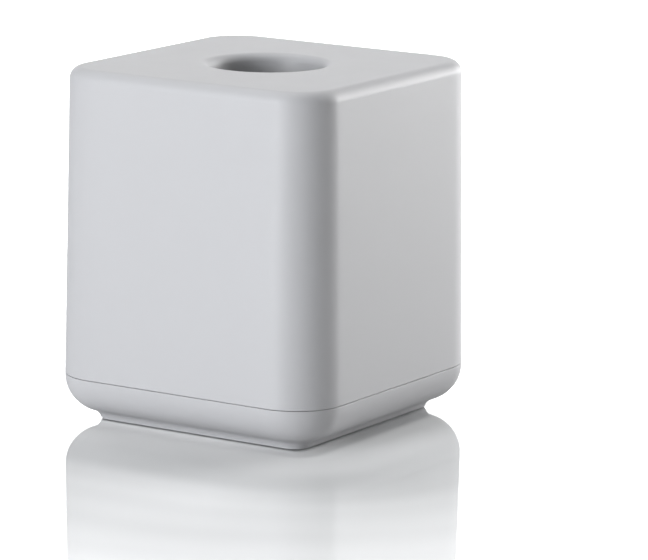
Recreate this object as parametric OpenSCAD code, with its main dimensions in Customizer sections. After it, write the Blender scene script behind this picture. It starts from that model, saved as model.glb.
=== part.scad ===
// Tissue box cover: a rounded square cover that lifts off a low base with a drawn-in foot.
// Lengths are in millimetres. +Z is up, z = 0 is the table, and the Z axis is the centre line.
// The broad face of the cover that looks towards -Y is called the front.

/* [Cover] */
// Outside width and depth of the cover at its lower edge
cover_w = 130; // [120:1:150]
// Height of the cover from its lower edge to the top face
cover_h = 126.7; // [110:0.1:150]
// Thickness of the cover's walls, its top and the collar
cover_wall = 2.4; // [1.8:0.1:3]
// Lean of the side walls towards the top, in degrees
wall_draft = 0.89; // [0.2:0.01:2]
// Radius of the upright corners at the lower edge
corner_r = 21.5; // [20:0.5:26]
// Radius of the rounded edge between the walls and the top
top_edge_r = 5; // [3.5:0.5:8]
// Chamfer on the outer rim of the cover and of the base, where they meet
rim_break = 0.2; // [0.1:0.05:0.4]

/* [Tissue opening] */
// Diameter of the throat, across the lip that the tissues are drawn over
throat_d = 45.2; // [36:0.2:50]
// Radius of the rolled edge between the top face and the collar
mouth_edge_r = 4; // [3.4:0.1:5]
// Lean of the collar's wall from the vertical, in degrees: the collar narrows downwards
collar_lean = 10; // [2:1:25]
// Depth of the collar below the top face
collar_h = 9; // [8.5:0.5:14]

/* [Base] */
// Thickness of the base's skin, foot and platform
base_wall = 2.4; // [1.8:0.1:3]
// Height of the upright band below the joint line
band_h = 0.5; // [0.5:0.1:3]
// Radius of the bowl below the band
bowl_r = 15; // [13:0.5:17]
// Angle that the bowl turns through before the neck begins, in degrees
bowl_turn = 73.5; // [65:0.5:80]
// Radius of the hollow curve between the bowl and the foot
neck_r = 6.1; // [5:0.1:8]
// Lean of the foot's wall where it ends, in degrees
foot_lean = 17; // [5:1:25]
// Open line between the base and the lower edge of the cover
seam_gap = 0.2; // [0.1:0.05:0.4]

/* [Upstand] */
// Height of the upstand that locates the cover, above the joint line
upstand_h = 6; // [5:0.5:12]
// Thickness of the upstand
upstand_wall = 2; // [1.6:0.1:2.4]
// Clearance between the upstand and the inside of the cover
upstand_fit = 0.3; // [0.2:0.05:0.5]
// Lead-in chamfer on the upstand's top edge
lead_in = 0.6; // [0.3:0.1:0.8]

/* [Platform] */
// Width of the flat gutter between the platform and the neck, along the sides
gutter_w = 2.6; // [2:0.1:4]
// Height of the platform above the underside of the foot
platform_h = 11; // [9:0.5:13]
// Radius of the platform's upright corners
platform_r = 22; // [20:0.5:24]
// Rounding of the platform's upper edge
platform_edge_r = 1.6; // [1:0.1:2]
// Lean of the platform's walls, in degrees
platform_draft = 2; // [1:0.5:4]

/* [Stop ribs] */
// Distance between the two ribs on each wall of the cover
rib_spacing = 56; // [40:1:70]
// Thickness of a rib
rib_t = 1.6; // [1.2:0.1:2.4]
// Height of a rib
rib_h = 14; // [10:1:24]
// Upright stretch of a rib's front edge
rib_front_h = 3; // [2:0.5:6]

/* [Pads] */
// Diameter of an anti-slip pad
pad_d = 9; // [7:0.5:9.5]
// Distance that the pads hold the foot above the table
pad_proud = 0.5; // [0.3:0.1:1]
// Depth of the round recess that holds a pad
pad_recess_h = 0.8; // [0.5:0.1:1]
// Clearance round a pad in its recess
pad_fit = 0.1; // [0.05:0.05:0.3]
// Distance of a pad's centre from the two nearest sides of the foot
pad_inset = 7.15; // [6.5:0.05:8]

/* [Hidden] */

// Flat steps in a whole turn of a round surface
$fn = 96;
// Flat steps in a whole turn along the rounded stretches of a section
arc_count = 60;
// Excess of a cut beyond the surface that it passes through
cut_over = 1;
// One quarter of a turn, in degrees
quarter = 90;
// Half a turn, in degrees
half_turn = 180;
// A whole turn, in degrees
full_turn = 360;

cover_colour = [0.79, 0.80, 0.81];
pad_colour = [0.22, 0.23, 0.24];

// Axis of each upright corner, measured from the centre line along X and along Y
corner_axis = cover_w / 2 - corner_r;

// Heights of the base, from the foot up
foot_z = pad_proud;
gutter_z = foot_z + base_wall;
neck_rise = neck_r * (sin(bowl_turn) - sin(foot_lean));
bowl_rise = bowl_r * sin(bowl_turn);
joint_z = foot_z + neck_rise + bowl_rise + band_h;
upstand_z = joint_z + upstand_h;
platform_z = foot_z + platform_h;

// Centres of the bowl and of the neck in the base's section, and the radii of the skin inside them
bowl = [corner_r - bowl_r, joint_z - band_h];
neck = bowl + (bowl_r + neck_r) * [cos(bowl_turn), -sin(bowl_turn)];
skin_bowl_r = bowl_r - base_wall;
skin_neck_r = neck_r + base_wall;

// Angle at which the skin inside the neck meets the gutter's floor
gutter_a = asin((gutter_z - neck[1]) / skin_neck_r);

// Half widths of the foot and of the platform, at the height of the foot's underside
foot_half_w = corner_axis + neck[0] - neck_r * cos(foot_lean);
platform_half_w = corner_axis + neck[0] - skin_neck_r * cos(gutter_a) - gutter_w;

// Heights of the cover
rim_z = joint_z + seam_gap;
top_z = rim_z + cover_h;

// Centre of the collar's round lip and of its rolled edge, in the plane through the axis
lip = [(throat_d + cover_wall) / 2, top_z - collar_h + cover_wall / 2];
mouth_z = top_z - mouth_edge_r;
mouth_out = mouth_edge_r - cover_wall / 2 + (mouth_z - lip[1]) * sin(collar_lean);
mouth = [lip[0] + mouth_out / cos(collar_lean), mouth_z];
// Radius at which the collar round the throat joins the plate of the top
collar_r = mouth[0] + cover_wall;

// Faces of the cover's wall and of the upstand, measured outwards from the corner axis
wall_slope = tan(wall_draft);
wall_run = cover_wall / cos(wall_draft);
function wall_out(z) = corner_r - (z - rim_z) * wall_slope;
function wall_in(z) = wall_out(z) - wall_run;
upstand_out = wall_in(upstand_z) - upstand_fit;
upstand_in = upstand_out - upstand_wall;

// Points of an arc about a centre, from one angle to another, in degrees
function arc(centre, r, from, to) =
    let (steps = ceil(arc_count * abs(to - from) / full_turn))
    [for (i = [0 : steps]) let (a = from + (to - from) * i / steps) centre + r * [cos(a), sin(a)]];

// A list without its first entry, for an arc that starts where the one before it ends
function after_first(points) = [for (i = [1 : len(points) - 1]) points[i]];

// Sweeps a section round a square with rounded corners. The section's x is measured outwards
// from the corner axes, so the sides run straight and the section turns about each corner.
module sweep_square(axis) {
    for (turn = [0 : 3]) {
        rotate(turn * quarter) {
            translate([axis, axis, 0]) {
                rotate([quarter, 0, 0]) linear_extrude(2 * axis) children();
                rotate_extrude(angle = quarter) children();
            }
        }
    }
}

// Fills the square between the corner axes, over a range of heights
module core_block(axis, low_z, high_z) {
    translate([-axis, -axis, low_z]) cube([2 * axis, 2 * axis, high_z - low_z]);
}

// Section of the cover: a leaning wall of even thickness, turned over into the flat top
module cover_section() {
    edge_z = top_z - top_edge_r;
    edge_u = wall_out(edge_z) - top_edge_r / cos(wall_draft);
    polygon(concat(
        [[wall_in(rim_z), rim_z], [corner_r - rim_break, rim_z]],
        [[wall_out(rim_z + rim_break), rim_z + rim_break]],
        arc([edge_u, edge_z], top_edge_r, wall_draft, quarter),
        [[0, top_z], [0, top_z - cover_wall]],
        arc([edge_u, edge_z], top_edge_r - cover_wall, quarter, wall_draft)
    ));
}

// Section of the collar: the top face rolls over into a wall that leans in towards the throat and
// ends in a round lip. Behind them the collar keeps the thickness of the cover's wall.
module collar_section() {
    lean_a = half_turn - collar_lean;
    polygon(concat(
        [[collar_r, top_z]],
        arc(mouth, mouth_edge_r, quarter, lean_a),
        arc(lip, cover_wall / 2, lean_a, lean_a + half_turn),
        arc(mouth, mouth_edge_r - cover_wall, lean_a, quarter),
        [[collar_r, top_z - cover_wall]]
    ));
}

// Side view of a stop rib: it stands on the upstand and fades into the wall above
module rib_section() {
    sunk = cover_wall / 2;
    rib_top = upstand_z + rib_h;
    polygon([
        [wall_in(upstand_z) + sunk, upstand_z],
        [upstand_in, upstand_z],
        [upstand_in, upstand_z + rib_front_h],
        [wall_in(rib_top), rib_top],
        [wall_in(rib_top) + sunk, rib_top]
    ]);
}

// Two ribs on each wall, inside the cover, which carry it on the upstand
module stop_ribs() {
    for (turn = [0 : 3], side = [-1, 1]) {
        rotate(turn * quarter)
            translate([corner_axis, side * rib_spacing / 2 + rib_t / 2, 0])
            rotate([quarter, 0, 0])
            linear_extrude(rib_t)
            rib_section();
    }
}

module cover_shell() {
    color(cover_colour) {
        difference() {
            union() {
                sweep_square(corner_axis) cover_section();
                core_block(corner_axis, top_z - cover_wall, top_z);
            }
            translate([0, 0, top_z - cover_wall - cut_over])
                cylinder(r = collar_r, h = cover_wall + 2 * cut_over);
        }
        rotate_extrude() collar_section();
        stop_ribs();
    }
}

// Section of the base: band, bowl, hollow neck and foot outside, and inside them a skin of even
// thickness that runs up into the upstand. The shoulder between band and upstand carries the seam.
module base_section() {
    upstand_a = acos((upstand_in - bowl[0]) / skin_bowl_r);
    polygon(concat(
        [[upstand_out, joint_z], [corner_r - rim_break, joint_z], [corner_r, joint_z - rim_break]],
        arc(bowl, bowl_r, 0, -bowl_turn),
        after_first(arc(neck, neck_r, half_turn - bowl_turn, half_turn - foot_lean)),
        [[0, foot_z], [0, gutter_z]],
        arc(neck, skin_neck_r, half_turn - gutter_a, half_turn - bowl_turn),
        after_first(arc(bowl, skin_bowl_r, -bowl_turn, -upstand_a)),
        [[upstand_in, upstand_z], [upstand_out - lead_in, upstand_z]],
        [[upstand_out, upstand_z - lead_in]]
    ));
}

// Section of the platform's outer face, or of the hollow under it when it is drawn in by the wall
module platform_section(inset, low_z, high_z) {
    lean = tan(platform_draft);
    face = platform_r - inset;
    edge_r = platform_edge_r;
    edge_u = face - (high_z - foot_z) * lean - edge_r;
    polygon(concat(
        [[0, low_z], [face - (low_z - foot_z) * lean, low_z]],
        arc([edge_u, high_z - edge_r], edge_r, 0, quarter),
        [[0, high_z]]
    ));
}

// Platform block, or the hollow under it
module platform_block(inset, low_z, high_z) {
    axis = platform_half_w - platform_r;
    sweep_square(axis) platform_section(inset, low_z, high_z);
    core_block(axis, low_z, high_z);
}

// Places something at the centre of the pad in the corner given by the signs of x and y
module at_pad(x, y) {
    reach = foot_half_w - pad_inset;
    translate([x * reach, y * reach, 0]) children();
}

module base_tray() {
    color(cover_colour)
    difference() {
        union() {
            sweep_square(corner_axis) base_section();
            core_block(corner_axis, foot_z, gutter_z);
            platform_block(0, foot_z, platform_z);
        }
        platform_block(base_wall, foot_z - cut_over, platform_z - base_wall);
        for (x = [-1, 1], y = [-1, 1])
            at_pad(x, y)
            translate([0, 0, foot_z - cut_over])
            cylinder(d = pad_d + 2 * pad_fit, h = pad_recess_h + cut_over);
    }
}

// Anti-slip pad: a disc with its recess-side face against the foot
module foot_pad(x, y) {
    color(pad_colour)
    at_pad(x, y)
    cylinder(d = pad_d, h = pad_proud + pad_recess_h);
}

cover_shell();
base_tray();
foot_pad(-1, -1);  // foot_pad_front_left
foot_pad(1, -1);  // foot_pad_front_right
foot_pad(-1, 1);  // foot_pad_rear_left
foot_pad(1, 1);  // foot_pad_rear_right
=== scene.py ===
"""Looks of the tissue box cover: satin shells, a white glossy table and soft studio light."""

import math

import bmesh
import bpy
import numpy as np
from mathutils import Matrix, Vector


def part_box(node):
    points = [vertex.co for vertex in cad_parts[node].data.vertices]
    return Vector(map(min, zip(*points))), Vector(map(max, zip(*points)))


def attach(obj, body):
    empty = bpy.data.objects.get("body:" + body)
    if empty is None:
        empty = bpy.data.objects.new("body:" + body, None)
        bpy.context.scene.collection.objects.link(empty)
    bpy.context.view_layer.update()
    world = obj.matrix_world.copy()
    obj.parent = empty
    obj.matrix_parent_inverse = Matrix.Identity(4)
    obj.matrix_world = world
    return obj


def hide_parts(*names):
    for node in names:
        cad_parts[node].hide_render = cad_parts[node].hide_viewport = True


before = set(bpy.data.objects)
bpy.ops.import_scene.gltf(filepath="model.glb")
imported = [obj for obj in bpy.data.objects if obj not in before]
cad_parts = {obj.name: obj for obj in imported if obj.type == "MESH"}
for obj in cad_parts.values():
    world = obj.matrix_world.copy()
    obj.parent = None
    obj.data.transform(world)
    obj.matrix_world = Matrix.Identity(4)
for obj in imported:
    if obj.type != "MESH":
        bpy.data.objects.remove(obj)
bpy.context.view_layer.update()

MM = 0.001

# Sizes that the frame gives, in metres
COVER_LOW, COVER_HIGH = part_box("cover_shell")
BASE_LOW, BASE_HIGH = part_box("base_tray")
HALF_W = COVER_HIGH.x
TOP_Z = COVER_HIGH.z
RIM_Z = COVER_LOW.z
FOOT_Z = BASE_LOW.z
UPSTAND_Z = BASE_HIGH.z

# Form of the cover
CORNER_R = 21.5 * MM
AXIS = HALF_W - CORNER_R
DRAFT = math.radians(0.89)
WALL = 2.4 * MM
TOP_EDGE_R = 5 * MM
RIM_EDGE_R = 0.2 * MM

# Opening of the cover: its rolled edge, and the leaning collar that ends in a round lip
THROAT_R = 22.6 * MM
MOUTH_EDGE_R = 4 * MM
COLLAR_LEAN = math.radians(10)
COLLAR_H = 9 * MM

# Form of the base
SEAM_GAP = 0.2 * MM
JOINT_Z = RIM_Z - SEAM_GAP
BAND_H = 0.5 * MM
BOWL_R = 15 * MM
BOWL_TURN = math.radians(73.5)
NECK_R = 6.1 * MM
FOOT_LEAN = math.radians(17)
FOOT_EDGE_R = 0.3 * MM
UPSTAND_WALL = 2 * MM
UPSTAND_FIT = 0.3 * MM
LEAD_IN = 0.6 * MM

# Platform inside the base, and the gutter round it
GUTTER_W = 2.6 * MM
GUTTER_R = 0.5 * MM
PLATFORM_H = 11 * MM
PLATFORM_R = 22 * MM
PLATFORM_EDGE_R = 1.6 * MM
PLATFORM_DRAFT = math.radians(2)

# Centres of the bowl and of the neck in the base's section, and the skin inside them
BOWL = (CORNER_R - BOWL_R, JOINT_Z - BAND_H)
NECK = (
    BOWL[0] + (BOWL_R + NECK_R) * math.cos(BOWL_TURN),
    BOWL[1] - (BOWL_R + NECK_R) * math.sin(BOWL_TURN),
)
SKIN_BOWL_R = BOWL_R - WALL
SKIN_NECK_R = NECK_R + WALL
GUTTER_Z = FOOT_Z + WALL
GUTTER_ANGLE = math.asin((GUTTER_Z - NECK[1]) / SKIN_NECK_R)
GUTTER_END = NECK[0] - SKIN_NECK_R * math.cos(GUTTER_ANGLE)
PLATFORM_AXIS = AXIS + GUTTER_END - GUTTER_W - PLATFORM_R
PLATFORM_Z = FOOT_Z + PLATFORM_H

# Stop ribs inside the cover
RIB_SPACING = 56 * MM
RIB_T = 1.6 * MM
RIB_H = 14 * MM
RIB_FRONT_H = 3 * MM

# Pads and their recesses
PADS = [f"foot_pad_{row}_{side}" for row in ("front", "rear") for side in ("left", "right")]
PAD_RECESS_H = 0.8 * MM
PAD_FIT = 0.1 * MM
PAD_EDGE_R = 0.25 * MM
RECESS_CUT_Z = -1 * MM

# Steps of the meshes round a corner, along a side, up a wall, up the collar and round a disc
CORNER_STEPS = 24
SIDE_STEPS = 28
WALL_STEPS = 28
COLLAR_STEPS = 7
DISC_STEPS = 64

# Longest step of an arc in a section, least angle of an edge that stays sharp, and welding distance
ARC_STEP = math.radians(5)
SHARP_ANGLE = math.radians(32)
WELD = 0.001 * MM

# Extra rings in flat faces: beside an edge, round the opening, and round the middle of the platform
SUPPORT = 0.4 * MM
MOUTH_SUPPORT = 4 * SUPPORT
MIDDLE_R = 10 * MM

# Where square rings give way to round ones, outwards from the corner axes
PLAIN_U = 8 * MM


def arc(centre, radius, start, end):
    """Points of an arc in a section, from one angle to another in radians."""
    steps = max(2, math.ceil(abs(end - start) / ARC_STEP))
    angles = [start + (end - start) * i / steps for i in range(steps + 1)]
    return [(centre[0] + radius * math.cos(a), centre[1] + radius * math.sin(a)) for a in angles]


def between(first, last, count):
    """Evenly spaced points between two points of a section, without the two themselves."""
    return [
        tuple(a + (b - a) * i / (count + 1) for a, b in zip(first, last))
        for i in range(1, count + 1)
    ]


def square_ring(axis, u, z):
    """Ring round a square with rounded corners, u outwards from the corner axes."""
    points = []
    for corner in range(4):
        centre = Matrix.Rotation(corner * math.pi / 2, 2) @ Vector((axis, axis))
        following = Matrix.Rotation((corner + 1) * math.pi / 2, 2) @ Vector((axis, axis))
        for i in range(CORNER_STEPS + 1):
            turn = (corner + i / CORNER_STEPS) * math.pi / 2
            points.append((centre.x + u * math.cos(turn), centre.y + u * math.sin(turn), z))
        turn = (corner + 1) * math.pi / 2
        out = Vector((math.cos(turn), math.sin(turn))) * u
        for i in range(1, SIDE_STEPS):
            place = centre.lerp(following, i / SIDE_STEPS) + out
            points.append((place.x, place.y, z))
    return points


def round_ring(radius, z, axis=AXIS):
    """Ring round a circle, with its points in the same directions as those of a square ring."""
    directions = [math.atan2(y, x) for x, y, _ in square_ring(axis, PLAIN_U, 0)]
    return [(radius * math.cos(a), radius * math.sin(a), z) for a in directions]


def link_object(name, data):
    """A new object at the origin of the scene."""
    thing = bpy.data.objects.new(name, data)
    bpy.context.scene.collection.objects.link(thing)
    return thing


def mesh_object(name, vertices, faces):
    mesh = bpy.data.meshes.new(name)
    mesh.from_pydata(vertices, [], faces)
    mesh.validate()
    return link_object(name, mesh)


def skin(name, rings, closed):
    """Joins rings into one surface, which runs back to its first ring or else has a cap at each end."""
    count = len(rings[0])
    vertices = [point for ring in rings for point in ring]
    faces = []
    last = len(rings) if closed else len(rings) - 1
    for ring in range(last):
        low = ring * count
        high = (ring + 1) % len(rings) * count
        for i in range(count):
            j = (i + 1) % count
            faces.append((low + i, low + j, high + j, high + i))
    if not closed:
        for ring, turned in ((0, True), (len(rings) - 1, False)):
            centre = np.mean(rings[ring], axis=0)
            vertices.append(tuple(centre))
            hub = len(vertices) - 1
            start = ring * count
            for i in range(count):
                j = (i + 1) % count
                rim = (start + j, start + i) if turned else (start + i, start + j)
                faces.append((hub, *rim))
    return mesh_object(name, vertices, faces)


def face_outwards(shape):
    """Welds points that coincide and turns every face outwards."""
    bm = bmesh.new()
    bm.from_mesh(shape.data)
    bmesh.ops.remove_doubles(bm, verts=bm.verts, dist=WELD)
    bmesh.ops.recalc_face_normals(bm, faces=bm.faces)
    bm.to_mesh(shape.data)
    bm.free()


def smooth(shape):
    """Smooth shading, broken only where two faces meet at a real edge."""
    shape.data.polygons.foreach_set("use_smooth", [True] * len(shape.data.polygons))
    shape.data.set_sharp_from_angle(angle=SHARP_ANGLE)


def combine(shape, tools, operation):
    """Applies an exact boolean of shape with each tool, and removes the tools."""
    for tool in tools:
        modifier = shape.modifiers.new("combine", "BOOLEAN")
        modifier.operation = operation
        modifier.solver = "EXACT"
        modifier.object = tool
    depsgraph = bpy.context.evaluated_depsgraph_get()
    mesh = bpy.data.meshes.new_from_object(shape.evaluated_get(depsgraph))
    shape.modifiers.clear()
    shape.data = mesh
    for tool in tools:
        bpy.data.objects.remove(tool)


def disc(name, centre, radius, low, high, edge_r=0.0):
    """A round disc with an optional rounding on its lower edge."""
    section = [(radius - edge_r, low)]
    if edge_r:
        section = arc((radius - edge_r, low + edge_r), edge_r, -math.pi / 2, 0)
    section.append((radius, high))
    turns = [2 * math.pi * i / DISC_STEPS for i in range(DISC_STEPS)]
    rings = []
    for r, z in section:
        rings.append([(centre[0] + r * math.cos(a), centre[1] + r * math.sin(a), z) for a in turns])
    shape = skin(name, rings, closed=False)
    face_outwards(shape)
    return shape


# Cover


def wall_out(z):
    """Outer face of the cover's wall, outwards from the corner axes."""
    return CORNER_R - (z - RIM_Z) * math.tan(DRAFT)


def wall_in(z):
    """Inner face of the cover's wall, outwards from the corner axes."""
    return wall_out(z) - WALL / math.cos(DRAFT)


def opening_section():
    """Rolled edge, leaning wall and round lip of the collar, and behind them its back."""
    lip_r = WALL / 2
    lip = (THROAT_R + lip_r, TOP_Z - COLLAR_H + lip_r)
    mouth_z = TOP_Z - MOUTH_EDGE_R
    out = MOUTH_EDGE_R - lip_r + (mouth_z - lip[1]) * math.sin(COLLAR_LEAN)
    mouth = (lip[0] + out / math.cos(COLLAR_LEAN), mouth_z)
    lean = math.pi - COLLAR_LEAN
    edge = arc(mouth, MOUTH_EDGE_R, math.pi / 2, lean)
    lip_arc = arc(lip, lip_r, lean, lean + math.pi)
    cove = arc(mouth, MOUTH_EDGE_R - WALL, lean, math.pi / 2)
    section = [(mouth[0] + MOUTH_SUPPORT, TOP_Z), (mouth[0] + SUPPORT, TOP_Z)]
    section += edge + between(edge[-1], lip_arc[0], COLLAR_STEPS) + lip_arc
    section += between(lip_arc[-1], cove[0], COLLAR_STEPS) + cove
    section += [(mouth[0] + SUPPORT, TOP_Z - WALL), (mouth[0] + MOUTH_SUPPORT, TOP_Z - WALL)]
    return section


def cover_rings():
    """Rings of the cover: rim, outer wall, top edge, opening, and back down along the inside."""
    edge_z = TOP_Z - TOP_EDGE_R
    edge = (wall_out(edge_z) - TOP_EDGE_R / math.cos(DRAFT), edge_z)
    fillet = arc(edge, TOP_EDGE_R, DRAFT, math.pi / 2)
    cove = arc(edge, TOP_EDGE_R - WALL, math.pi / 2, DRAFT)
    rim_r = RIM_EDGE_R
    rim_z = RIM_Z + rim_r
    low = [(wall_in(RIM_Z) + rim_r + SUPPORT, RIM_Z), (CORNER_R - rim_r - SUPPORT, RIM_Z)]
    low += arc((CORNER_R - rim_r, rim_z), rim_r, -math.pi / 2, DRAFT)
    wall_start = (wall_out(rim_z + SUPPORT), rim_z + SUPPORT)
    wall_end = (wall_out(fillet[0][1] - SUPPORT), fillet[0][1] - SUPPORT)
    outer = [wall_start] + between(wall_start, wall_end, WALL_STEPS) + [wall_end]
    top = [(edge[0] - SUPPORT, TOP_Z), (PLAIN_U, TOP_Z)]
    rings = [square_ring(AXIS, u, z) for u, z in low + outer + fillet + top]

    rings += [round_ring(radius, z) for radius, z in opening_section()]

    inner_start = (wall_in(edge_z - SUPPORT), edge_z - SUPPORT)
    inner_end = (wall_in(rim_z + SUPPORT), rim_z + SUPPORT)
    inner = [(PLAIN_U, TOP_Z - WALL), (edge[0] - SUPPORT, TOP_Z - WALL)] + cove
    inner += [inner_start] + between(inner_start, inner_end, WALL_STEPS) + [inner_end]
    inner += arc((wall_in(rim_z) + rim_r, rim_z), rim_r, math.pi, 1.5 * math.pi)
    rings += [square_ring(AXIS, u, z) for u, z in inner]
    return rings


def stop_rib(turn, side):
    """A rib that stands on the upstand and fades into the cover's wall above."""
    sunk = WALL / 2
    high = UPSTAND_Z + RIB_H
    front = wall_in(UPSTAND_Z) - UPSTAND_FIT - UPSTAND_WALL
    section = [
        (wall_in(UPSTAND_Z) + sunk, UPSTAND_Z),
        (front, UPSTAND_Z),
        (front, UPSTAND_Z + RIB_FRONT_H),
        (wall_in(high), high),
        (wall_in(high) + sunk, high),
    ]
    rotation = Matrix.Rotation(turn * math.pi / 2, 3, "Z")
    vertices = []
    for offset in (-RIB_T / 2, RIB_T / 2):
        across = side * RIB_SPACING / 2 + offset
        vertices += [tuple(rotation @ Vector((AXIS + u, across, z))) for u, z in section]
    count = len(section)
    faces = [tuple(range(count)), tuple(range(2 * count - 1, count - 1, -1))]
    for i in range(count):
        j = (i + 1) % count
        faces.append((i, j, count + j, count + i))
    rib = mesh_object("rib", vertices, faces)
    face_outwards(rib)
    return rib


def make_cover():
    cover = skin("cover_moulding", cover_rings(), closed=True)
    face_outwards(cover)
    ribs = [stop_rib(turn, side) for turn in range(4) for side in (-1, 1)]
    combine(cover, ribs, "UNION")
    smooth(cover)
    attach(cover, "cover")
    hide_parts("cover_shell")
    return cover


# Base


def platform_face(z, inset=0.0):
    """Side of the platform, outwards from its corner axes, or of the hollow inset from it."""
    return PLATFORM_R - inset - (z - FOOT_Z) * math.tan(PLATFORM_DRAFT)


def platform_rings():
    """Rings from the middle of the platform down into the gutter."""
    edge_r = PLATFORM_EDGE_R
    edge_u = platform_face(PLATFORM_Z) - edge_r
    low_z = GUTTER_Z + GUTTER_R
    section = [(PLAIN_U, PLATFORM_Z), (edge_u - SUPPORT, PLATFORM_Z)]
    section += arc((edge_u, PLATFORM_Z - edge_r), edge_r, math.pi / 2, 0)
    section += arc((platform_face(low_z) + GUTTER_R, low_z), GUTTER_R, math.pi, 1.5 * math.pi)
    section += [(platform_face(GUTTER_Z) + GUTTER_R + SUPPORT, GUTTER_Z)]
    rings = [round_ring(MIDDLE_R, PLATFORM_Z, PLATFORM_AXIS)]
    return rings + [square_ring(PLATFORM_AXIS, u, z) for u, z in section]


def side_rings():
    """Rings from the gutter up the inside to the upstand, and down the outside to the foot."""
    upstand_out = wall_in(UPSTAND_Z) - UPSTAND_FIT
    upstand_in = upstand_out - UPSTAND_WALL
    upstand_angle = math.acos((upstand_in - BOWL[0]) / SKIN_BOWL_R)
    rim_r = RIM_EDGE_R
    section = [(GUTTER_END - SUPPORT, GUTTER_Z)]
    section += arc(NECK, SKIN_NECK_R, math.pi - GUTTER_ANGLE, math.pi - BOWL_TURN)
    section += arc(BOWL, SKIN_BOWL_R, -BOWL_TURN, -upstand_angle)[1:]
    section += [(upstand_in, section[-1][1] + SUPPORT), (upstand_in, UPSTAND_Z - rim_r - SUPPORT)]
    section += arc((upstand_in + rim_r, UPSTAND_Z - rim_r), rim_r, math.pi, math.pi / 2)
    section += [(upstand_out - LEAD_IN, UPSTAND_Z), (upstand_out, UPSTAND_Z - LEAD_IN)]
    section += [(upstand_out, JOINT_Z + SUPPORT), (upstand_out, JOINT_Z)]
    section += [(upstand_out + SUPPORT, JOINT_Z), (CORNER_R - rim_r - SUPPORT, JOINT_Z)]
    section += arc((CORNER_R - rim_r, JOINT_Z - rim_r), rim_r, math.pi / 2, 0)
    section += arc(BOWL, BOWL_R, 0, -BOWL_TURN)

    edge = FOOT_EDGE_R
    section += arc(NECK, NECK_R, math.pi - BOWL_TURN, math.pi - FOOT_LEAN - edge / NECK_R)[1:]
    foot = NECK[0] - NECK_R * math.cos(FOOT_LEAN)
    section += arc((foot - edge, FOOT_Z + edge), edge, -FOOT_LEAN / 2, -math.pi / 2)
    section += [(foot - edge - SUPPORT, FOOT_Z)]
    return [square_ring(AXIS, u, z) for u, z in section]


def hollow_rings():
    """Rings of the moulded hollow under the platform."""
    edge = FOOT_EDGE_R
    ceiling_z = PLATFORM_Z - WALL
    hollow_u = platform_face(ceiling_z, WALL) - PLATFORM_EDGE_R
    foot_u = platform_face(FOOT_Z, WALL)
    section = [(foot_u + edge + SUPPORT, FOOT_Z)]
    section += arc((foot_u + edge, FOOT_Z + edge), edge, -math.pi / 2, -math.pi)
    section += arc((hollow_u, ceiling_z - PLATFORM_EDGE_R), PLATFORM_EDGE_R, 0, math.pi / 2)
    section += [(hollow_u - SUPPORT, ceiling_z), (PLAIN_U, ceiling_z)]
    rings = [square_ring(PLATFORM_AXIS, u, z) for u, z in section]
    return rings + [round_ring(MIDDLE_R, ceiling_z, PLATFORM_AXIS)]


def pad_recess(node):
    """What is cut from the foot for a pad."""
    low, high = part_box(node)
    radius = (high.x - low.x) / 2 + PAD_FIT
    return disc("recess", (low + high) / 2, radius, RECESS_CUT_Z, FOOT_Z + PAD_RECESS_H)


def make_base():
    rings = platform_rings() + side_rings() + hollow_rings()
    base = skin("base_moulding", rings, closed=False)
    face_outwards(base)
    combine(base, [pad_recess(node) for node in PADS], "DIFFERENCE")
    smooth(base)
    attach(base, "base")
    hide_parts("base_tray")
    return base


# Pads


def make_pad(node):
    low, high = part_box(node)
    name = node.replace("foot_pad", "grip_pad")
    radius = (high.x - low.x) / 2
    pad = disc(name, (low + high) / 2, radius, low.z, high.z, edge_r=PAD_EDGE_R)
    smooth(pad)
    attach(pad, "base")
    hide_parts(node)
    return pad


# Materials

# The part of a noise's values that is spread over a range of roughness
NOISE_LOW = 0.3
NOISE_HIGH = 0.7

# Satin plastic: a fine moulded grain, and wide clouds of slightly changing gloss
PLASTIC_GREY = (0.448, 0.45, 0.462)
PLASTIC_IOR = 1.5
PLASTIC_ROUGHNESS = (0.48, 0.52)
PLASTIC_CLOUD = {"scale": 60, "detail": 2}
PLASTIC_GRAIN = {"scale": 2200, "detail": 3}
PLASTIC_BUMP = {"strength": 0.08, "height": 0.02 * MM}

# Rubber of the pads, with a coarser grain
RUBBER_GREY = (0.03, 0.03, 0.032)
RUBBER_ROUGHNESS = (0.7, 0.85)
RUBBER_GRAIN = {"scale": 3000, "detail": 4}
RUBBER_BUMP = {"strength": 0.3, "height": 0.05 * MM}


def add_node(tree, kind, **values):
    node = tree.nodes.new(kind)
    for name, value in values.items():
        setattr(node, name, value)
    return node


def new_material(name, colour):
    """A material with its tree and its shader of the given colour."""
    material = bpy.data.materials.new(name)
    material.use_nodes = True
    shader = material.node_tree.nodes["Principled BSDF"]
    shader.inputs["Base Color"].default_value = (*colour, 1)
    return material, material.node_tree, shader


def add_noise(tree, scale, detail):
    """Noise fixed to the object."""
    place = add_node(tree, "ShaderNodeTexCoord")
    texture = add_node(tree, "ShaderNodeTexNoise")
    texture.inputs["Scale"].default_value = scale
    texture.inputs["Detail"].default_value = detail
    tree.links.new(place.outputs["Object"], texture.inputs["Vector"])
    return texture.outputs["Fac"]


def add_roughness(tree, shader, source, low, high):
    """Roughness that follows a noise between two values."""
    step = add_node(tree, "ShaderNodeMapRange")
    step.inputs["From Min"].default_value = NOISE_LOW
    step.inputs["From Max"].default_value = NOISE_HIGH
    step.inputs["To Min"].default_value = low
    step.inputs["To Max"].default_value = high
    tree.links.new(source, step.inputs["Value"])
    tree.links.new(step.outputs["Result"], shader.inputs["Roughness"])


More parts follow.
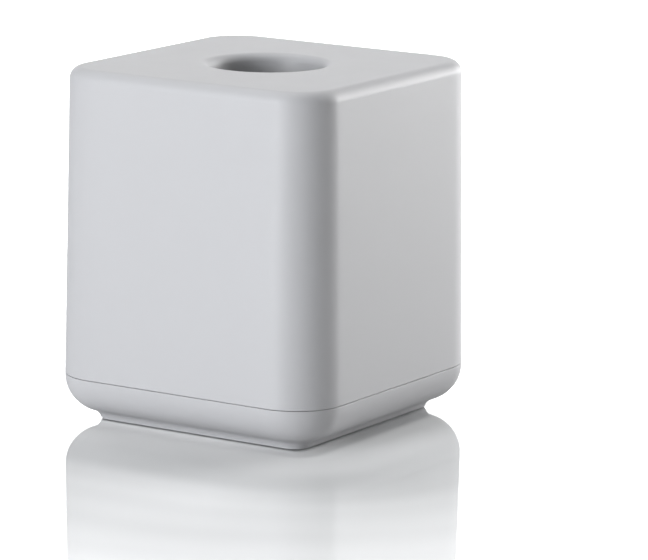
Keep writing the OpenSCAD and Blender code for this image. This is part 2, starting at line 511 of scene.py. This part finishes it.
def add_bump(tree, shader, source, strength, height):
    """Fine relief that follows a noise."""
    bump = add_node(tree, "ShaderNodeBump")
    bump.inputs["Strength"].default_value = strength
    bump.inputs["Distance"].default_value = height
    tree.links.new(source, bump.inputs["Height"])
    tree.links.new(bump.outputs["Normal"], shader.inputs["Normal"])


def make_plastic():
    material, tree, shader = new_material("satin_grey_plastic", PLASTIC_GREY)
    shader.inputs["IOR"].default_value = PLASTIC_IOR
    add_roughness(tree, shader, add_noise(tree, **PLASTIC_CLOUD), *PLASTIC_ROUGHNESS)
    add_bump(tree, shader, add_noise(tree, **PLASTIC_GRAIN), **PLASTIC_BUMP)
    return material


def make_rubber():
    material, tree, shader = new_material("pad_rubber", RUBBER_GREY)
    grain = add_noise(tree, **RUBBER_GRAIN)
    add_roughness(tree, shader, grain, *RUBBER_ROUGHNESS)
    add_bump(tree, shader, grain, **RUBBER_BUMP)
    return material


# Camera

# The photograph's width and the focal length that was fitted to it, both in pixels
PICTURE_W = 648
FOCAL_PX = 4390.0
SENSOR_MM = 36
CLIP_START = 0.01

# The camera's place, fitted to the photograph
CAMERA_AZIMUTH = math.radians(32.756)
CAMERA_ELEVATION = math.radians(11.513)
CAMERA_DISTANCE = 1.8065
CAMERA_ROLL = math.radians(0.612)
AIM_RIGHT = 24.078 * MM
AIM_Z = 56.104 * MM

# Level direction from left to right across the picture
PICTURE_RIGHT = Vector((math.cos(CAMERA_AZIMUTH), math.sin(CAMERA_AZIMUTH), 0))


def make_camera():
    data = bpy.data.cameras.new("photo_camera")
    data.sensor_width = SENSOR_MM
    data.lens = SENSOR_MM * FOCAL_PX / PICTURE_W
    data.clip_start = CLIP_START
    camera = link_object("photo_camera", data)
    turn, rise = CAMERA_AZIMUTH, CAMERA_ELEVATION
    back = Vector((math.sin(turn) * math.cos(rise), -math.cos(turn) * math.cos(rise), math.sin(rise)))
    level_up = back.cross(PICTURE_RIGHT)
    right = PICTURE_RIGHT * math.cos(CAMERA_ROLL) + level_up * math.sin(CAMERA_ROLL)
    up = level_up * math.cos(CAMERA_ROLL) - PICTURE_RIGHT * math.sin(CAMERA_ROLL)
    place = PICTURE_RIGHT * AIM_RIGHT + Vector((0, 0, AIM_Z)) + back * CAMERA_DISTANCE
    axes = Matrix((right, up, back)).transposed().to_4x4()
    camera.matrix_world = Matrix.Translation(place) @ axes
    bpy.context.scene.camera = camera


# Light

WHITE = (1, 1, 1, 1)
NEUTRAL = (1, 1, 1)
COOL = (0.985, 1, 1.025)

# Height that the soft lights look at, and their two distances from there
LIGHT_AIM_Z = 75 * MM
LIGHT_FAR = 3.0
LIGHT_NEAR = 1.5

# Name, azimuth and elevation in degrees, distance, width and height in metres, watts, colour
LIGHTS = (
    ("left_key", -104, 8, LIGHT_FAR, 1.0, 0.8, 60, COOL),
    ("left_low", -104, 0, LIGHT_NEAR, 0.5, 0.3, 4.5, COOL),
    ("left_high", -108, 32, LIGHT_FAR, 1.2, 0.8, 22, COOL),
    ("top", 0, 90, LIGHT_FAR, 1.2, 1.2, 27, NEUTRAL),
    ("right_key", 67, 12, LIGHT_FAR, 2.0, 1.3, 70, NEUTRAL),
    ("right_near", 62, 4, LIGHT_NEAR, 0.9, 0.4, 9, NEUTRAL),
    ("right_high", 62, 36, LIGHT_FAR, 1.6, 0.8, 16, NEUTRAL),
    ("back_left_high", 160, 60, LIGHT_FAR, 1.0, 0.8, 20, NEUTRAL),
    ("back_right", 118, 40, LIGHT_FAR, 1.8, 0.8, 13, NEUTRAL),
    ("back_low", 125, 13, LIGHT_FAR, 2.4, 0.6, 11, NEUTRAL),
)


def make_softbox(name, azimuth, elevation, distance, width, height, watts, colour):
    """A soft light that looks at the middle of the object, and that the camera doesn't see."""
    data = bpy.data.lights.new(name, "AREA")
    data.shape = "RECTANGLE"
    data.size = width
    data.size_y = height
    data.energy = watts
    data.color = colour
    light = link_object(name, data)
    turn, rise = math.radians(azimuth), math.radians(elevation)
    back = Vector((math.cos(turn) * math.cos(rise), math.sin(turn) * math.cos(rise), math.sin(rise)))
    light.location = Vector((0, 0, LIGHT_AIM_Z)) + back * distance
    light.rotation_euler = back.to_track_quat("Z", "Y").to_euler()
    light.visible_camera = False


def make_world():
    """White for the camera, dark for everything else."""
    world = bpy.data.worlds.new("studio")
    bpy.context.scene.world = world
    world.use_nodes = True
    tree = world.node_tree
    background = tree.nodes["Background"]
    background.inputs["Color"].default_value = WHITE
    ray = add_node(tree, "ShaderNodeLightPath")
    tree.links.new(ray.outputs["Is Camera Ray"], background.inputs["Strength"])


# Table

# Its colour for the camera, and for the light that it throws back onto the object
TABLE_WHITE = (0.61, 0.62, 0.625, 1)
TABLE_BOUNCE = (0.66, 0.66, 0.66, 1)
TABLE_GLOSS = 0.2
TABLE_ROUGHNESS = 0.03
TABLE_HALF_W = 4.0

# Painted light that fades the table to white: half the width of the square that it starts from, and how
# far it reaches
FADE_FOOT = 48.5 * MM
FADE_REACH = 0.34

# Stops of the painted light: a distance in metres, and the light that the camera sees added there.
# Little is added near the foot, so the table stays darker there from its real shade and the painted
# light's lows together; further out it paints the table white
PAINTED_FADE_STOPS = (
    (0.0, 0.0),
    (0.010, 0.0),
    (0.032, 0.06),
    (0.056, 0.005),
    (0.075, 0.03),
    (0.095, 0.10),
    (0.128, 0.16),
    (0.160, 0.24),
    (0.200, 0.34),
    (FADE_REACH, 0.8),
)

# Stops of the painted light that the left and the right of the picture get in addition: painted pools
# of light beside the foot, the larger on the left
LEFT_PAINTED_STOPS = (
    (0.0, 0.0),
    (0.001, 0.0),
    (0.003, 0.24),
    (0.040, 0.0),
    (0.056, 0.02),
    (0.078, 0.12),
    (0.110, 0.055),
    (0.140, 0.0),
    (FADE_REACH, 0.0),
)
RIGHT_PAINTED_STOPS = (
    (0.0, 0.0),
    (0.009, 0.0),
    (0.013, 0.12),
    (0.020, 0.07),
    (0.032, 0.055),
    (0.050, 0.0),
    (FADE_REACH, 0.0),
)

# Where the painted light of a side ends and where it is full, in metres to the right of the object's
# axis
LEFT_ENDS = (0.04, -0.02)
RIGHT_ENDS = (-0.02, 0.03)

# White card all round, which only the table mirrors
DOME_RADIUS = 6.0
DOME_SEGMENTS = 48
DOME_RINGS = 24
DOME_GLOW = 3.6


def bare_material(name):
    """A material with no nodes yet."""
    material = bpy.data.materials.new(name)
    material.use_nodes = True
    material.node_tree.nodes.clear()
    return material


def add_painted_ramp(tree, share, stops):
    """Ramp of painted light over the share of the fade's reach."""
    fade = add_node(tree, "ShaderNodeValToRGB")
    ramp = fade.color_ramp
    ramp.interpolation = "EASE"
    while len(ramp.elements) < len(stops):
        ramp.elements.new(1.0)
    for element, (distance, light) in zip(ramp.elements, stops):
        element.position = distance / FADE_REACH
        element.color = (light, light, light, 1)
    tree.links.new(share, fade.inputs["Fac"])
    return fade.outputs["Color"]


def add_painted_side_ramp(tree, share, across, stops, ends):
    """The same painted light, on one side of the picture only."""
    side = add_node(tree, "ShaderNodeMapRange")
    side.inputs["From Min"].default_value, side.inputs["From Max"].default_value = ends
    tree.links.new(across, side.inputs["Value"])
    product = add_node(tree, "ShaderNodeMath", operation="MULTIPLY")
    tree.links.new(add_painted_ramp(tree, share, stops), product.inputs[0])
    tree.links.new(side.outputs["Result"], product.inputs[1])
    return product.outputs["Value"]


def add_sum(tree, first, second):
    total = add_node(tree, "ShaderNodeMath", operation="ADD")
    tree.links.new(first, total.inputs[0])
    tree.links.new(second, total.inputs[1])
    return total.outputs["Value"]


def table_surface(tree):
    """Matt white that mirrors a little."""
    matt = add_node(tree, "ShaderNodeBsdfDiffuse")
    matt.inputs["Color"].default_value = TABLE_WHITE
    gloss = add_node(tree, "ShaderNodeBsdfGlossy")
    gloss.inputs["Roughness"].default_value = TABLE_ROUGHNESS
    surface = add_node(tree, "ShaderNodeMixShader")
    surface.inputs["Fac"].default_value = TABLE_GLOSS
    tree.links.new(matt.outputs["BSDF"], surface.inputs[1])
    tree.links.new(gloss.outputs["BSDF"], surface.inputs[2])
    return surface.outputs["Shader"]


def painted_table_light(tree):
    """Painted light: an emission, seen by the camera alone, that fades the table to white with the
    distance from the foot's square.
    """
    link = tree.links.new
    place = add_node(tree, "ShaderNodeTexCoord")
    half = add_node(tree, "ShaderNodeVectorMath", operation="ABSOLUTE")
    link(place.outputs["Object"], half.inputs[0])
    beyond = add_node(tree, "ShaderNodeVectorMath", operation="SUBTRACT")
    beyond.inputs[1].default_value = (FADE_FOOT, FADE_FOOT, 0)
    link(half.outputs["Vector"], beyond.inputs[0])
    clear = add_node(tree, "ShaderNodeVectorMath", operation="MAXIMUM")
    link(beyond.outputs["Vector"], clear.inputs[0])
    away = add_node(tree, "ShaderNodeVectorMath", operation="LENGTH")
    link(clear.outputs["Vector"], away.inputs[0])
    reach = add_node(tree, "ShaderNodeMapRange")
    reach.inputs["From Max"].default_value = FADE_REACH
    link(away.outputs["Value"], reach.inputs["Value"])
    share = reach.outputs["Result"]

    across = add_node(tree, "ShaderNodeVectorMath", operation="DOT_PRODUCT")
    across.inputs[1].default_value = PICTURE_RIGHT
    link(place.outputs["Object"], across.inputs[0])
    left = add_painted_side_ramp(tree, share, across.outputs["Value"], LEFT_PAINTED_STOPS, LEFT_ENDS)
    right = add_painted_side_ramp(tree, share, across.outputs["Value"], RIGHT_PAINTED_STOPS, RIGHT_ENDS)

    # Painted light and shade on the table, added as an emission
    glow = add_node(tree, "ShaderNodeEmission")
    light = add_sum(tree, add_painted_ramp(tree, share, PAINTED_FADE_STOPS), add_sum(tree, left, right))
    link(light, glow.inputs["Strength"])
    return glow.outputs["Emission"]


def make_table():
    """White glossy table. Only the camera sees its gloss and its painted light, which fades it to
    white.
    """
    signs = ((-1, -1), (1, -1), (1, 1), (-1, 1))
    corners = [(x * TABLE_HALF_W, y * TABLE_HALF_W, 0) for x, y in signs]
    table = mesh_object("table", corners, [(0, 1, 2, 3)])
    material = bare_material("painted_light_white_table")
    tree = material.node_tree
    link = tree.links.new
    shown = add_node(tree, "ShaderNodeAddShader")
    link(table_surface(tree), shown.inputs[0])
    link(painted_table_light(tree), shown.inputs[1])
    bounce = add_node(tree, "ShaderNodeBsdfDiffuse")
    bounce.inputs["Color"].default_value = TABLE_BOUNCE
    ray = add_node(tree, "ShaderNodeLightPath")
    choice = add_node(tree, "ShaderNodeMixShader")
    link(ray.outputs["Is Camera Ray"], choice.inputs["Fac"])
    link(bounce.outputs["BSDF"], choice.inputs[1])
    link(shown.outputs["Shader"], choice.inputs[2])
    out = add_node(tree, "ShaderNodeOutputMaterial")
    link(choice.outputs["Shader"], out.inputs["Surface"])
    table.data.materials.append(material)
    return table


def make_dome(table):
    """Half a sphere of white card round the object, seen by nothing but the table's gloss."""
    bm = bmesh.new()
    bmesh.ops.create_uvsphere(
        bm, u_segments=DOME_SEGMENTS, v_segments=DOME_RINGS, radius=DOME_RADIUS
    )
    low = [v for v in bm.verts if v.co.z < -DOME_RADIUS / DOME_RINGS]
    bmesh.ops.delete(bm, geom=low, context="VERTS")
    mesh = bpy.data.meshes.new("white_card")
    bm.to_mesh(mesh)
    bm.free()
    dome = link_object("white_card", mesh)
    material = bare_material("white_card")
    tree = material.node_tree
    glow = add_node(tree, "ShaderNodeEmission")
    glow.inputs["Strength"].default_value = DOME_GLOW
    out = add_node(tree, "ShaderNodeOutputMaterial")
    tree.links.new(glow.outputs["Emission"], out.inputs["Surface"])
    material.cycles.emission_sampling = "NONE"
    mesh.materials.append(material)
    dome.visible_camera = False
    dome.visible_diffuse = False
    dome.visible_shadow = False
    lit = bpy.data.collections.new("lit_by_card")
    lit.objects.link(table)
    dome.light_linking.receiver_collection = lit


plastic = make_plastic()
make_cover().data.materials.append(plastic)
make_base().data.materials.append(plastic)
pad_rubber = make_rubber()
for node in PADS:
    make_pad(node).data.materials.append(pad_rubber)

make_camera()
make_dome(make_table())
make_world()
for light in LIGHTS:
    make_softbox(*light)
bpy.context.scene.view_settings.view_transform = "Standard"
